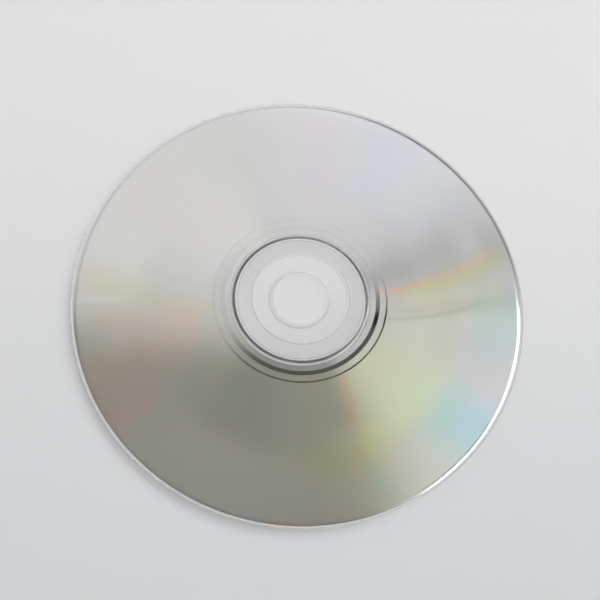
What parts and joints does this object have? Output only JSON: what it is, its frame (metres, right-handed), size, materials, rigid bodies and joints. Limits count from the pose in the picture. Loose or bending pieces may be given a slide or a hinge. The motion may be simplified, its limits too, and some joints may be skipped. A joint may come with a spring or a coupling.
{
  "type": "compact disc",
  "caption": "Clear plastic optical disc with a reflective layer on its label side, a spindle hole, a stacking ring and a flat clamping land; holds data read through the clear side.",
  "frame": {"origin": "centre of the spindle hole on the surface that the disc rests on, label side down", "axes": "+Z along the spindle, out of the clear playing side; +X to the right and +Y away from the viewer as in the picture"},
  "size_m": [0.12, 0.12, 0.0014],
  "materials": {
    "clear_plastic": "clear polished polycarbonate",
    "mirror_metal": "bright metal film under a fine spiral track, with soft rainbow sheen"
  },
  "bodies": {
    "root": {"clear_disc": "clear_plastic", "reflective_layer": "mirror_metal"}
  },
  "joints": []
}
